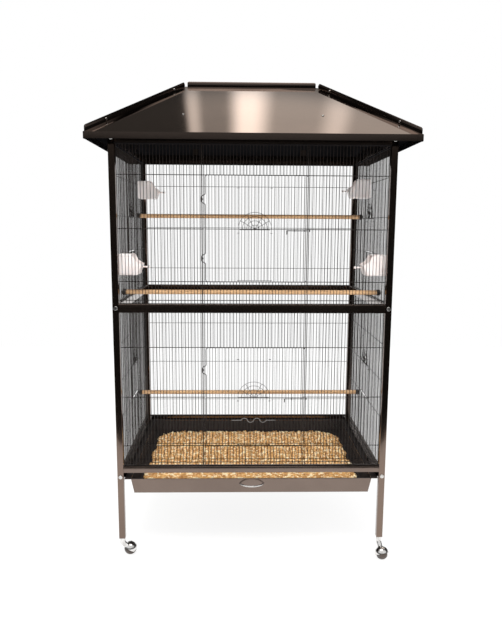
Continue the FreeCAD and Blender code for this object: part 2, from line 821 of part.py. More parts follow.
def feeder_cup(side, y, z):
    """Hooded cup against a side panel, open at its sloping mouth, with a ball-ended peg."""
    outline = [(0, 0), (0, cup_height), (cup_hood, cup_height), (cup_slope_end, cup_slope_height),
               (cup_reach, cup_lip), (cup_reach - cup_toe, 0)]
    above = cup_height + cup_wall
    hollow = [(cup_wall, cup_wall), (cup_wall, cup_height - cup_wall), (cup_hood, cup_height - cup_wall),
              (cup_hood, above), (cup_reach - cup_wall, above), (cup_reach - cup_wall, cup_lip),
              (cup_reach - cup_toe - cup_wall, cup_wall)]
    half = cup_width / 2

    def slab(points, low, high):
        corners_here = [V(side * (panel_inner - u), low, z + w) for u, w in points]
        return Part.Face(polygon(corners_here)).extrude(V(0, high - low, 0))

    shell = slab(outline, y - half, y + half).cut(slab(hollow, y - half + cup_wall, y + half - cup_wall))
    peg_z = z + cup_lip - peg_ball
    lean = cup_toe * (cup_lip - peg_ball) / cup_lip
    root = V(side * (panel_inner - cup_reach + cup_toe - lean + cup_wall / 2), y, peg_z)
    tip = root - V(side * (peg_length + cup_toe / 2), 0, 0)
    return joined([shell, rod(root, tip, peg_diameter / 2), Part.makeSphere(peg_ball / 2, tip)])


wheel_r = wheel_diameter / 2


def caster_frame(corner):
    """Placement that turns a caster about its leg and sets it under the leg."""
    sx, sy = corners[corner]
    turn = FreeCAD.Rotation(V(0, 0, 1), caster_angles[corner])
    return FreeCAD.Placement(V(sx * post_x, sy * post_y, 0), turn)


def placed(shape, corner):
    return shape.transformed(caster_frame(corner).toMatrix(), copy=True)


def caster_hood():
    """Ball hood, open before and behind the wheel, with its arm, neck and stem, and the axle pin."""
    centre = V(caster_trail, 0, wheel_r)
    cavity = wheel_r + hood_gap
    outer = cavity + hood_wall
    shoulder = caster_height - shoulder_gap
    bend = V(0, 0, shoulder - neck_length)
    ball = Part.makeSphere(outer, centre)
    for tilt in (-hood_opening, hood_opening):
        below = box(-2 * outer, 2 * outer, -outer, outer, -2 * outer, -hood_skirt)
        below.rotate(V(), V(0, 1, 0), tilt)
        ball = ball.cut(below.translated(centre))
    arm = [rod(bend, centre, neck_diameter / 2), Part.makeSphere(neck_diameter / 2, bend)]
    neck = rod(bend, V(0, 0, shoulder), neck_diameter / 2)
    stem = rod(V(0, 0, shoulder), V(0, 0, shoulder + stem_length), stem_diameter / 2)
    pin = rod(centre - V(0, outer, 0), centre + V(0, outer, 0), axle_diameter / 2)
    pin = pin.common(Part.makeSphere(outer, centre))
    hood = joined([ball, neck, stem] + arm).cut([Part.makeSphere(cavity, centre), pin])
    return Part.makeCompound([hood, pin])


def caster_wheel():
    centre = V(caster_trail, 0, wheel_r)
    half = wheel_width / 2
    disc = rod(centre - V(0, half, 0), centre + V(0, half, 0), wheel_r)
    wheel = Part.makeSphere(wheel_r, centre).common(disc)
    bore = rod(centre - V(0, wheel_r, 0), centre + V(0, wheel_r, 0), axle_diameter / 2 + running_gap)
    return wheel.cut(bore)


def caster_sockets():
    """Plastic inserts in the leg ends, bored for the stems."""
    half = post_size / 2 - tube_wall - socket_play
    sockets = []
    for sx, sy in corners.values():
        x, y = sx * post_x, sy * post_y
        block = box(x - half, x + half, y - half, y + half, caster_height, caster_height + socket_length)
        deep = V(x, y, caster_height + stem_length + stem_end_gap)
        bore = rod(V(x, y, caster_height), deep, stem_diameter / 2 + running_gap)
        sockets.append(block.cut(bore))
    return Part.makeCompound(sockets)


def frame_nodes():
    nodes = {"post_" + corner: post(*signs) for corner, signs in corners.items()}
    for level, low, high in (("mid", mid_bottom, mid_top), ("top", top_bottom, top_top)):
        rails = [rail(True, way * post_y, low, high) for way in (-1, 1)]
        rails += [rail(False, way * post_x, low, high) for way in (-1, 1)]
        nodes[level + "_rails"] = Part.makeCompound(rails)
    nodes["base_rail_front"] = rail(True, -post_y, front_base_bottom, front_base_top)
    nodes["base_rail_back"] = rail(True, post_y, channel_base, channel_top)
    nodes["side_channels"] = Part.makeCompound([side_channel(side) for side in sides.values()])
    screws = [screw(p, out, screw_length, screw_head) for p, out in post_screws()]
    nodes["frame_screws"] = Part.makeCompound(screws)
    return nodes


def wire_nodes():
    ornament = fan()
    door, feed, latch = front_door(ornament), front_feed_door(), door_latch()
    side_feeds = {name: side_feed_door(side) for name, side in sides.items()}
    nodes = {}
    for storey in storeys:
        nodes["front_panel_" + storey] = front_panel(storey)
        nodes["back_panel_" + storey] = back_panel(storey)
        nodes["front_door_" + storey] = raised(door, door_bottom[storey])
        nodes["front_feed_door_" + storey] = raised(feed, door_bottom[storey] + feed_foot)
        nodes["door_latch_" + storey] = raised(latch, door_bottom[storey])
        for name, side in sides.items():
            nodes[name + "_panel_" + storey] = side_panel(side, storey)
            nodes[name + "_feed_door_" + storey] = raised(side_feeds[name], feed_bottom[storey] + feed_foot)
    nodes["hinge_rods"] = hinge_rods()
    nodes["latch_keepers"] = latch_keepers()
    nodes["side_feed_guides"] = side_feed_guides()
    nodes["side_fans"] = side_fans(ornament)
    nodes["scroll_lock"] = scroll_lock()
    nodes["floor_grate"] = floor_grate()
    return nodes


def roof_nodes():
    nodes = {}
    for name, outline, way in (("front", long_slope, -1), ("back", long_slope, 1),
                               ("left", short_slope, -1), ("right", short_slope, 1)):
        nodes["roof_slope_" + name] = roof_slope(outline, way)
    nodes["hip_caps"] = Part.makeCompound([hip_cap(sx, sy) for sx, sy in corners.values()])
    nodes["ridge_cap"] = ridge_cap()
    nodes["roof_corner_caps"] = corner_caps()
    nodes["roof_brackets"] = Part.makeCompound([roof_bracket(*place) for place in bracket_places()])
    nodes["roof_screws"] = Part.makeCompound(roof_screws())
    return nodes


def furnishing_nodes():
    nodes = {"litter_tray": litter_tray(), "litter_bed": litter_bed(), "tray_handle": tray_handle()}
    nodes["perches"] = Part.makeCompound([perch(*place) for place in perch_places])
    nodes["perch_caps"] = perch_caps()
    nodes["perch_bolts"] = perch_bolts()
    for name, (depths, rise) in cup_places.items():
        cups = [feeder_cup(side, depths[key], mid_top + rise) for key, side in sides.items()]
        nodes["feeder_cups_" + name] = Part.makeCompound(cups)
    return nodes


def caster_nodes():
    hood, wheel = caster_hood(), caster_wheel()
    nodes = {"caster_sockets": caster_sockets()}
    for corner in corners:
        nodes["caster_hood_" + corner] = placed(hood, corner)
        nodes["caster_wheel_" + corner] = placed(wheel, corner)
    return nodes


os.makedirs("parts", exist_ok=True)
for group in (frame_nodes, wire_nodes, roof_nodes, furnishing_nodes, caster_nodes):
    for node, shape in group().items():
        print(node, "solids", len(shape.Solids))
        shape.exportStep(os.path.join("parts", node + ".step"))
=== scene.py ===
import json
import math
import random

import bmesh
import bpy
from mathutils import Matrix, Vector, noise


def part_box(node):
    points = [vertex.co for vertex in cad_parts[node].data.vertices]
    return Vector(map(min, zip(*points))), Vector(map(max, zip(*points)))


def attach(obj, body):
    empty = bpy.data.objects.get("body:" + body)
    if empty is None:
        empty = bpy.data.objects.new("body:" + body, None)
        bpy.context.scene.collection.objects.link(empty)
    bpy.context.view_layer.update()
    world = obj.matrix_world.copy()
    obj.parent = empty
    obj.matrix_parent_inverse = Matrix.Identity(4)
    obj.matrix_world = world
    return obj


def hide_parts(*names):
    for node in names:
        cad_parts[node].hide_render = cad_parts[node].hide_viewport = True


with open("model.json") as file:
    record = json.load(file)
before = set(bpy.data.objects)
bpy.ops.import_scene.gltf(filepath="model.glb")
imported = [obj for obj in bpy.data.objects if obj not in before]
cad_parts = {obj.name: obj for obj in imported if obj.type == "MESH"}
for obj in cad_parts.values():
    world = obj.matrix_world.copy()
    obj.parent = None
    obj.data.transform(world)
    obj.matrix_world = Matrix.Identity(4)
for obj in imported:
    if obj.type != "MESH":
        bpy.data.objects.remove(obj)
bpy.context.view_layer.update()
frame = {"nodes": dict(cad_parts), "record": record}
nodes = frame["nodes"]
scene = bpy.context.scene
acrossCage, intoCage, upright = Vector((1, 0, 0)), Vector((0, 1, 0)), Vector((0, 0, 1))
print("frame loaded:", len(nodes), "nodes")


class Tap:  # one output of a shader node; sums on taps add Math nodes
    def __init__(self, tree, socket=None):
        self.tree = tree
        self.socket = socket

    def node(self, kind, out=0, stops=None, sockets=None, **settings):
        made = self.tree.nodes.new("ShaderNode" + kind)
        for key, value in settings.items():
            setattr(made, key, value)
        for i, (place, colour) in enumerate(stops or []):
            ramp = made.color_ramp.elements
            stop = ramp[i] if i < 2 else ramp.new(place)
            stop.position = place
            stop.color = colour
        for key, value in (sockets or {}).items():
            if isinstance(value, Tap):
                self.tree.links.new(value.socket, made.inputs[key])
            else:
                made.inputs[key].default_value = value
        return Tap(self.tree, made.outputs[out])

    def sum(self, operation, first, second):
        return self.node("Math", operation=operation, sockets={0: first, 1: second})

    def __add__(self, other):
        return self.sum("ADD", self, other)

    def __radd__(self, other):
        return self.sum("ADD", other, self)

    def __sub__(self, other):
        return self.sum("SUBTRACT", self, other)

    def __rsub__(self, other):
        return self.sum("SUBTRACT", other, self)

    def __mul__(self, other):
        return self.sum("MULTIPLY", self, other)

    def __truediv__(self, other):
        return self.sum("DIVIDE", self, other)

    def step(self, low, high):  # 0 below low, 1 above high, smooth between
        return self.node("MapRange", interpolation_type="SMOOTHSTEP",
                         sockets={"Value": self, "From Min": low, "From Max": high})

    def mix(self, first, second):  # colours by this factor
        return self.node("Mix", out=2, data_type="RGBA", sockets={0: self, 6: first, 7: second})

    def bump(self, strength, distance):
        return self.node("Bump", sockets={"Height": self, "Strength": strength, "Distance": distance})


def shade(red, green, blue):
    return (red, green, blue, 1.0)


def newFinish(name, fixed):
    material = bpy.data.materials.new(name)
    material.use_nodes = True
    shader = material.node_tree.nodes["Principled BSDF"]
    for key, value in fixed.items():
        shader.inputs[key].default_value = value
    return material, Tap(material.node_tree), shader


def feed(tap, shader, **links):
    names = {"colour": "Base Color", "rough": "Roughness", "normal": "Normal"}
    for key, value in links.items():
        tap.tree.links.new(value.socket, shader.inputs[names[key]])


# the dull diffuse colour below is painted shade for undersides; some finishes also lay it on their up faces
enamel = {"deep": shade(0.165, 0.122, 0.1), "worn": shade(0.2, 0.15, 0.124),
          "paintedShade": shade(0.007, 0.007, 0.008), "shadeOnTops": 0.0,
          "rough": 0.17, "haze": 0.07, "peelScale": 420.0, "peel": 0.05,
          "fixed": {"Metallic": 1.0, "Coat Weight": 0.5, "Coat Roughness": 0.04}}


def enamelFinish(name, look):
    material, tap, shader = newFinish(name, look["fixed"])
    place = tap.node("TexCoord", out="Object")
    haze = tap.node("TexNoise", sockets={"Vector": place, "Scale": 2.6, "Detail": 5.0, "Roughness": 0.6})
    specks = tap.node("TexNoise", sockets={"Vector": place, "Scale": 140.0, "Detail": 2.0}).step(0.62, 0.78)
    peel = tap.node("TexNoise", sockets={"Vector": place, "Scale": look["peelScale"], "Detail": 1.0})
    facing = tap.node("SeparateXYZ", out="Z", sockets={0: tap.node("NewGeometry", out="Normal")})
    shadedTops = facing.step(0.05, 0.15) * look["shadeOnTops"]
    bare = (0 - facing).step(0.2, 0.5) + shadedTops  # painted shade: undersides, and up faces on finishes that ask for it, show a dull near-black diffuse instead of the enamel
    dust = haze.step(0.35, 0.75)
    feed(tap, shader, colour=dust.mix(look["deep"], look["worn"]), normal=peel.bump(look["peel"], 0.0004),
         rough=look["rough"] + dust * look["haze"] + specks * 0.05)
    # the painted shade itself: a flat dark diffuse that stands in for the enamel where the mask is set
    paintedShade = tap.node("BsdfDiffuse", sockets={"Color": look["paintedShade"]})
    mixed = tap.node("MixShader", sockets={0: bare, 1: Tap(tap.tree, shader.outputs[0]), 2: paintedShade})
    tap.tree.links.new(mixed.socket, tap.tree.nodes["Material Output"].inputs["Surface"])
    return material


roofEnamel = dict(enamel, rough=0.06, haze=0.03, peelScale=90.0, peel=0.03)
postEnamel = dict(enamel, deep=shade(0.172, 0.121, 0.096), worn=shade(0.2, 0.143, 0.112), rough=0.12,
                  haze=0.04)
# tray: painted shade, a dark diffuse, on its undersides and on its up faces too
trayEnamel = dict(enamel, paintedShade=shade(0.03, 0.026, 0.025), shadeOnTops=1.0)
wireEnamel = dict(enamel, deep=shade(0.008, 0.006, 0.005), worn=shade(0.016, 0.012, 0.01), rough=0.36,
                  fixed={"IOR": 1.38, "Specular IOR Level": 0.3})
# floor grate: painted shade on the wires' tops as well as their undersides
grateEnamel = dict(wireEnamel, shadeOnTops=1.0)
# scroll lock: lighter grey than the other wire, partly the scroll's own paler metal and partly a painted
# highlight
scrollEnamel = dict(wireEnamel, deep=shade(0.1, 0.095, 0.09), worn=shade(0.15, 0.14, 0.135))

chrome = {"bright": shade(0.82, 0.81, 0.8), "dull": shade(0.6, 0.58, 0.56), "rough": 0.1}


def chromeFinish(name, look):
    material, tap, shader = newFinish(name, {"Metallic": 1.0})
    place = tap.node("TexCoord", out="Object")
    smear = tap.node("TexNoise", sockets={"Vector": place, "Scale": 60.0, "Detail": 4.0}).step(0.4, 0.75)
    scratch = tap.node("TexNoise", sockets={"Vector": place, "Scale": 900.0, "Detail": 1.0})
    feed(tap, shader, colour=smear.mix(look["bright"], look["dull"]), rough=look["rough"] + smear * 0.15,
         normal=scratch.bump(0.03, 0.0002))
    return material


screwSteel = dict(chrome, bright=shade(0.7, 0.69, 0.67), rough=0.26)

perchWood = {"pale": shade(0.55, 0.36, 0.2), "brown": shade(0.3, 0.17, 0.085),
             "pore": shade(0.12, 0.06, 0.03), "rough": 0.5,
             "grain": (2.5, 160.0, 160.0), "wave": (1.2, 55.0, 55.0)}


def woodFinish(name, look):
    material, tap, shader = newFinish(name, {"Specular IOR Level": 0.35})
    place = tap.node("TexCoord", out="Object")
    long = tap.node("Mapping", sockets={"Vector": place, "Scale": look["grain"]})
    slow = tap.node("Mapping", sockets={"Vector": place, "Scale": look["wave"]})
    fibres = tap.node("TexNoise", sockets={"Vector": long, "Scale": 2.0, "Detail": 6.0, "Roughness": 0.65})
    rings = tap.node("TexNoise", sockets={"Vector": slow, "Scale": 1.4, "Detail": 3.0, "Distortion": 0.6})
    pores = tap.node("TexNoise", sockets={"Vector": long, "Scale": 7.0, "Detail": 1.0}).step(0.64, 0.74)
    tone = rings.step(0.3, 0.7) * 0.65 + fibres.step(0.35, 0.7) * 0.35
    feed(tap, shader, colour=(pores * 0.6).mix(tone.mix(look["pale"], look["brown"]), look["pore"]),
         rough=look["rough"] + fibres * 0.2, normal=(fibres - pores * 0.6).bump(0.25, 0.0006))
    return material


cupPlastic = {"milk": shade(0.69, 0.615, 0.6), "shadow": shade(0.63, 0.545, 0.53), "rough": 0.34,
              "fixed": {"Subsurface Weight": 0.8, "Subsurface Radius": (1.0, 0.85, 0.8),
                        "Subsurface Scale": 0.012, "IOR": 1.49}}


def cupFinish(name, look):
    material, tap, shader = newFinish(name, look["fixed"])
    place = tap.node("TexCoord", out="Object")
    cloud = tap.node("TexNoise", sockets={"Vector": place, "Scale": 22.0, "Detail": 3.0}).step(0.35, 0.75)
    skin = tap.node("TexNoise", sockets={"Vector": place, "Scale": 1300.0, "Detail": 1.0})
    feed(tap, shader, colour=cloud.mix(look["milk"], look["shadow"]), rough=look["rough"] + cloud * 0.12,
         normal=skin.bump(0.08, 0.0002))
    return material


darkPlastic = {"milk": shade(0.016, 0.014, 0.013), "shadow": shade(0.03, 0.026, 0.024), "rough": 0.4,
               "fixed": {"IOR": 1.5}}
wheelPlastic = {"milk": shade(0.03, 0.022, 0.018), "shadow": shade(0.055, 0.04, 0.032), "rough": 0.36,
                "fixed": {"IOR": 1.52}}

chipWood = {"stops": [(0.0, shade(0.12, 0.045, 0.012)), (0.22, shade(0.5, 0.25, 0.085)),
                      (0.45, shade(0.84, 0.52, 0.21)), (0.75, shade(0.94, 0.69, 0.37)),
                      (1.0, shade(0.98, 0.87, 0.62))],
            "rough": 0.75}


def chipFinish(name, look):
    material, tap, shader = newFinish(name, {"Specular IOR Level": 0.25})
    place = tap.node("TexCoord", out="Object")
    tone = tap.node("Attribute", out="Fac", attribute_name="tone")
    grain = tap.node("TexNoise", sockets={"Vector": place, "Scale": 420.0, "Detail": 3.0})
    colour = tap.node("ValToRGB", stops=look["stops"], sockets={0: tone * 0.85 + grain * 0.3 + 0.04})
    feed(tap, shader, colour=colour, rough=look["rough"] + grain * 0.15, normal=grain.bump(0.35, 0.0006))
    return material


finishes = {"enamel": enamelFinish("enamel", enamel), "roof_enamel": enamelFinish("roofEnamel", roofEnamel),
            "wire": enamelFinish("wireEnamel", wireEnamel), "post": enamelFinish("postEnamel", postEnamel),
            "tray": enamelFinish("trayEnamel", trayEnamel), "grate": enamelFinish("grateEnamel", grateEnamel),
            "scroll": enamelFinish("scrollEnamel", scrollEnamel),
            "chrome": chromeFinish("chrome", chrome), "screw_steel": chromeFinish("screwSteel", screwSteel),
            "perch_wood": woodFinish("perchWood", perchWood),
            "cup_plastic": cupFinish("cupPlastic", cupPlastic),
            "dark_plastic": cupFinish("darkPlastic", darkPlastic),
            "wheel_plastic": cupFinish("wheelPlastic", wheelPlastic),
            "litter": chipFinish("litterChips", chipWood)}
print("finishes made:", len(finishes))

slotOf = {part["node"]: part["material_slot"] for part in frame["record"]["subparts"]}
bodyOf = {node: body for body, members in frame["record"]["behaviour"]["bodies"].items() for node in members}
wireNames = ("_panel_", "_door_", "door_latch", "hinge_rods", "latch_keepers", "side_f", "roof_brackets")
ownFinish = {"litter_tray": "tray", "floor_grate": "grate", "scroll_lock": "scroll"}


def finishOf(node):  # wire work, posts and tray differ a little from the other pieces of their slot
    if node in ownFinish:
        return finishes[ownFinish[node]]
    if any(word in node for word in wireNames):
        return finishes["wire"]
    return finishes["post" if node.startswith("post_") else slotOf[node]]


for name, cadNode in nodes.items():
    cadNode.data.materials.clear()
    cadNode.data.materials.append(finishOf(name))


def addPiece(name, bm, replaced, sharp=35.0, wall=0.0):
    if not wall:
        bmesh.ops.recalc_face_normals(bm, faces=bm.faces)
    mesh = bpy.data.meshes.new(name)
    bm.edges.index_update()
    rims = [edge.index for edge in bm.edges if edge.is_boundary]
    bm.to_mesh(mesh)
    bm.free()
    mesh.shade_smooth()
    mesh.set_sharp_from_angle(angle=math.radians(sharp))
    for index in rims:  # open ends stay square when the wall is added
        mesh.edges[index].use_edge_sharp = True
    piece = bpy.data.objects.new(name, mesh)
    scene.collection.objects.link(piece)
    mesh.materials.append(finishOf(replaced[0]))
    if wall:
        skin = piece.modifiers.new("wall", "SOLIDIFY")
        skin.thickness = wall
        skin.offset = -1.0
        skin.use_even_offset = True
    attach(piece, bodyOf[replaced[0]])
    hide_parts(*replaced)
    return piece


def onlyVerts(geom):
    return [item for item in geom if isinstance(item, bmesh.types.BMVert)]


def onlyEdges(geom):
    return [item for item in geom if isinstance(item, bmesh.types.BMEdge)]


def aimed(way, axis="Z"):  # turns the given axis along the way
    return way.to_track_quat(axis, "Y").to_matrix().to_4x4()


def wireRun(bm, start, end, thick, sides=8):
    start, end = Vector(start), Vector(end)
    run = end - start
    place = Matrix.Translation((start + end) / 2) @ aimed(run)
    bmesh.ops.create_cone(bm, cap_ends=True, segments=sides, radius1=thick / 2, radius2=thick / 2,
                          depth=run.length, matrix=place)


def wireRing(bm, centre, axis, radius, thick, angle=360.0, start=acrossCage, steps=16):
    centre, axis, start = Vector(centre), Vector(axis), Vector(start)
    place = Matrix.Translation(centre + start * radius) @ aimed(axis.cross(start))
    full = angle >= 360.0
    ring = bmesh.ops.create_circle(bm, cap_ends=not full, segments=8, radius=thick / 2, matrix=place)["verts"]
    geom = ring + list({edge for vert in ring for edge in vert.link_edges})
    turned = bmesh.ops.spin(bm, geom=geom, cent=centre, axis=axis, angle=math.radians(angle), steps=steps,
                            use_merge=full)
    if not full:
        bmesh.ops.edgeloop_fill(bm, edges=onlyEdges(turned["geom_last"]))


class Bender:  # a wire bender: straight runs and arcs pushed on from a first ring
    def __init__(self, bm, start, heading, thick, sides=10):
        self.bm, self.tip, self.heading = bm, Vector(start), Vector(heading).normalized()
        place = Matrix.Translation(self.tip) @ aimed(self.heading)
        ring = bmesh.ops.create_circle(bm, segments=sides, radius=thick / 2, matrix=place)["verts"]
        self.ring = list({edge for vert in ring for edge in vert.link_edges})

    def run(self, length):
        made = bmesh.ops.extrude_edge_only(self.bm, edges=self.ring)["geom"]
        verts = onlyVerts(made)
        bmesh.ops.translate(self.bm, verts=verts, vec=self.heading * length)
        fresh = set(verts)
        self.ring = [edge for edge in onlyEdges(made) if set(edge.verts) <= fresh]
        self.tip = self.tip + self.heading * length
        return self

    def turn(self, angle, radius, axis, steps=6):
        axis = Vector(axis) * (1 if angle > 0 else -1)
        centre = self.tip + axis.cross(self.heading) * radius
        verts = list({vert for edge in self.ring for vert in edge.verts})
        spun = bmesh.ops.spin(self.bm, geom=verts + self.ring, cent=centre, axis=axis,
                              angle=math.radians(abs(angle)), steps=steps)
        self.ring = onlyEdges(spun["geom_last"])
        swing = Matrix.Rotation(math.radians(abs(angle)), 3, axis)
        self.tip = centre + swing @ (self.tip - centre)
        self.heading = swing @ self.heading
        return self


tube = {"round": 0.0014, "wall": 0.0015, "steps": 3}


def squareTube(bm, low, high, along):
    place = Matrix.Translation((low + high) / 2) @ Matrix.Diagonal((*(high - low), 1))
    verts = bmesh.ops.create_cube(bm, size=1.0, matrix=place)["verts"]
    faces = {face for vert in verts for face in vert.link_faces}
    middle, length = ((low + high) / 2)[along], (high - low)[along]
    ends = [face for face in faces if abs(face.calc_center_median()[along] - middle) > length / 4]
    edges = {edge for vert in verts for edge in vert.link_edges}
    long = [edge for edge in edges if abs((edge.verts[0].co - edge.verts[1].co)[along]) > length / 2]
    bmesh.ops.delete(bm, geom=ends, context="FACES_ONLY")
    bmesh.ops.bevel(bm, geom=long, offset=tube["round"], segments=tube["steps"], profile=0.5, affect="EDGES",
                    material=-1)


postLow, postHigh = {}, {}
for corner in ("front_left", "front_right", "back_left", "back_right"):
    postLow[corner], postHigh[corner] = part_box("post_" + corner)
    bm = bmesh.new()
    squareTube(bm, postLow[corner], postHigh[corner], 2)
    addPiece("cornerPost_" + corner, bm, ["post_" + corner], sharp=20.0, wall=tube["wall"])

for node in ("mid_rails", "top_rails", "base_rail_front", "base_rail_back"):
    low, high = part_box(node)
    bm = bmesh.new()
    for side in ("front", "back"):
        if node in ("mid_rails", "top_rails") or node.endswith(side):
            left, right = postLow[side + "_left"], postHigh[side + "_right"]
            squareTube(bm, Vector((postHigh[side + "_left"].x, left.y, low.z)),
                       Vector((postLow[side + "_right"].x, right.y, high.z)), 0)
    if node in ("mid_rails", "top_rails"):
        for side in ("left", "right"):
            near, far = postHigh["front_" + side], postLow["back_" + side]
            squareTube(bm, Vector((far.x, near.y, low.z)), Vector((near.x, far.y, high.z)), 1)
    addPiece("tube_" + node, bm, [node], sharp=20.0, wall=tube["wall"])
print("square tubes made")

wires = {"thick": {"front": 0.0022, "back": 0.0011, "left": 0.0019, "right": 0.0019},
         "bar": {"front": 0.003, "back": 0.0023, "left": 0.0023, "right": 0.0023},
         "pitch": 0.0126, "inset": 0.001, "behind": 0.0012, "seed": 3,
         "stray": {"front": 0.0003, "back": 0.0006, "left": 0.0013, "right": 0.0013}}
panelBars = {  # cross wires between a panel's two edges; those beside a doorway stop at it
    "front_panel_lower": (0.408, 0.478, 0.680, 0.882), "front_panel_upper": (1.069, 1.142, 1.344, 1.546),
    "back_panel_lower": (0.449, 0.653, 0.857), "back_panel_upper": (1.142, 1.346, 1.550),
    "side_lower": (0.580, 0.7324, 0.8844), "side_upper": (1.2416, 1.394, 1.546)}
doorways = {"front_panel_lower": (-0.189, 0.2016, 0.478, 0.882),  # left, right, bottom, top
            "front_panel_upper": (-0.189, 0.2016, 1.142, 1.546)}
for side in ("left", "right"):
    doorways[side + "_panel_lower"] = (-0.0693, 0.0693, 0.580, 0.7324)
    doorways[side + "_panel_upper"] = (-0.0693, 0.0693, 1.2416, 1.394)
stopRod = {"x": 0.2079, "thick": 0.003}


def wirePanel(node, along, bars, behind):
    low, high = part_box(node)
    middle = (low + high) / 2
    half = wires["inset"]
    thick, bar, stray = (wires[key][node.split("_")[0]] for key in ("thick", "bar", "stray"))
    rng = random.Random(wires["seed"])
    free = doorways.get(node)
    bm = bmesh.new()

    def point(u, z, depth=0.0):
        return (u, middle.y + depth, z) if along == 0 else (middle.x + depth, u, z)

    count = round((high[along] - low[along] - 2 * half) / wires["pitch"])
    for i in range(count + 1):
        u = low[along] + half + i * wires["pitch"]
        spans = [(low.z, high.z)]
        if free and free[0] + half < u < free[1] - half:
            spans = [(low.z, free[2]), (free[3], high.z)]
        for bottom, top in spans:
            place = u + rng.gauss(0, stray) if 0 < i < count else u
            wireRun(bm, point(place, bottom), point(place, top), thick)
    for z in (low.z + half,) + bars + (high.z - half,):
        spans = [(low[along], high[along])]
        if free and free[2] + half < z < free[3] - half:
            spans = [(low[along], free[0]), (free[1], high[along])]
        for first, last in spans:
            wireRun(bm, point(first, z, behind), point(last, z, behind), bar)
    if node.startswith("front"):
        wireRun(bm, point(stopRod["x"], low.z), point(stopRod["x"], high.z), stopRod["thick"], 12)
    addPiece("wires_" + node, bm, [node])


for storey in ("lower", "upper"):
    wirePanel("front_panel_" + storey, 0, panelBars["front_panel_" + storey], wires["behind"])
    wirePanel("back_panel_" + storey, 0, panelBars["back_panel_" + storey], -wires["behind"])
    for side in ("left", "right"):
        wirePanel(side + "_panel_" + storey, 1, panelBars["side_" + storey], 0.0)
print("wire panels made")

fan = {"rings": 4, "step": 0.016, "spokes": 7, "thick": 0.0016}


def addFan(bm, centre, across, out):  # half-round wire ornament standing on its centre
    centre, across, lift = Vector(centre), Vector(across), Vector(out) * fan["thick"] / 2
    axis = across.cross(upright)
    for i in range(fan["rings"]):
        wireRing(bm, centre, axis, fan["step"] * (i + 1), fan["thick"], 180.0, across, 18)
    reach = fan["step"] * fan["rings"]
    for i in range(fan["spokes"]):
        angle = math.pi * i / (fan["spokes"] - 1)
        tip = across * math.cos(angle) * reach + upright * math.sin(angle) * reach
        wireRun(bm, centre + lift, centre + tip + lift, fan["thick"])


door = {"thick": 0.003, "wire": 0.0018, "bar": 0.0022, "corner": 0.009, "height": 0.404, "left": -0.1827,
        "columns": 31, "plane": -0.3905, "bottom": {"lower": 0.478, "upper": 1.142}, "feedFirst": 10,
        "feedColumns": 10, "hinge": -0.1953, "hingeInset": 0.090, "eye": 0.0034, "eyeWire": 0.002,
        "eyePitch": 1.1, "jogBend": 0.004, "jogSlant": 60, "jogFlat": 0.016,
        "jogReach": (-0.0148, -0.0038, 0.0),
        "latchY": -0.3935, "latchZ": 0.197, "latchGuides": (0.1575, 0.1953), "latchRing": 0.0026,
        "latchRingGap": 0.001, "barAhead": 0.6, "guideRing": 0.0036, "guideWire": 0.0016, "guideBehind": 0.0015,
        "guideLevels": (0.005, 0.187, 0.3565), "weld": 0.00002}


def doorOutline(bm, bottom):
    right = door["left"] + door["columns"] * wires["pitch"]
    top, bend, turnRound = bottom + door["height"], door["corner"], intoCage
    reach = Vector(door["jogReach"])
    jogRound = upright.cross(reach).normalized()
    turn = door["jogSlant"]
    slant = math.radians(turn)
    slope = (reach.length - 2 * door["jogBend"] * (1 - math.cos(slant))) / math.sin(slant)
    rise = 2 * door["jogBend"] * math.sin(slant) + slope * math.cos(slant)
    middle = (door["left"] + right) / 2
    wire = Bender(bm, (middle, door["plane"], bottom), -acrossCage, door["thick"])
    wire.run(middle - door["left"] - bend).turn(90, bend, turnRound)
    for level in (bottom + door["hingeInset"], top - door["hingeInset"]):  # two jogs in front of the hinge rod
        wire.run(level - door["jogFlat"] / 2 - rise - wire.tip.z)
        wire.turn(turn, door["jogBend"], jogRound).run(slope).turn(-turn, door["jogBend"], jogRound)
        wire.run(door["jogFlat"])
        wire.turn(-turn, door["jogBend"], jogRound).run(slope).turn(turn, door["jogBend"], jogRound)
        for i in (-1, 0, 1):
            eyeLevel = level + i * door["eyeWire"] * door["eyePitch"]
            wireRing(bm, (door["hinge"], door["plane"], eyeLevel), upright, door["eye"], door["eyeWire"])
    wire.run(top - bend - wire.tip.z).turn(90, bend, turnRound)
    wire.run(right - bend - wire.tip.x).turn(90, bend, turnRound)
    wire.run(wire.tip.z - bottom - bend).turn(90, bend, turnRound)
    wire.run(wire.tip.x - middle)
    bmesh.ops.remove_doubles(bm, verts=bm.verts, dist=door["weld"])


def frontDoor(storey):
    bottom = door["bottom"][storey]
    middle, top = bottom + door["height"] / 2, bottom + door["height"]
    bm = bmesh.new()
    doorOutline(bm, bottom)
    places = [door["left"] + i * wires["pitch"] for i in range(door["columns"] + 1)]
    feedLeft, feedRight = places[door["feedFirst"]], places[door["feedFirst"] + door["feedColumns"]]
    half = wires["inset"]
    for x in places[1:-1]:
        foot = middle if feedLeft + half < x < feedRight - half else bottom
        wireRun(bm, (x, door["plane"], foot), (x, door["plane"], top), door["wire"])
    front = door["plane"] - door["wire"] * door["barAhead"]
    wireRun(bm, (places[0], front, middle), (places[-1], front, middle), door["bar"])
    addFan(bm, ((feedLeft + feedRight) / 2, door["plane"] - door["wire"], middle), acrossCage, -intoCage)
    for x in door["latchGuides"]:
        for i in (-1, 1):
            wireRing(bm, (x + i * door["latchRingGap"], door["latchY"], bottom + door["latchZ"]), acrossCage,
                     door["latchRing"], door["guideWire"], start=upright)
    for x in (feedLeft, feedRight):
        for level in door["guideLevels"]:
            wireRing(bm, (x, door["plane"] + door["guideBehind"], bottom + level), upright, door["guideRing"],
                     door["guideWire"])
    addPiece("wireDoor_" + storey, bm, ["front_door_" + storey])


feedDoor = {"edge": 0.0018, "bar": 0.004, "barInset": 0.0045, "sideColumns": 11}


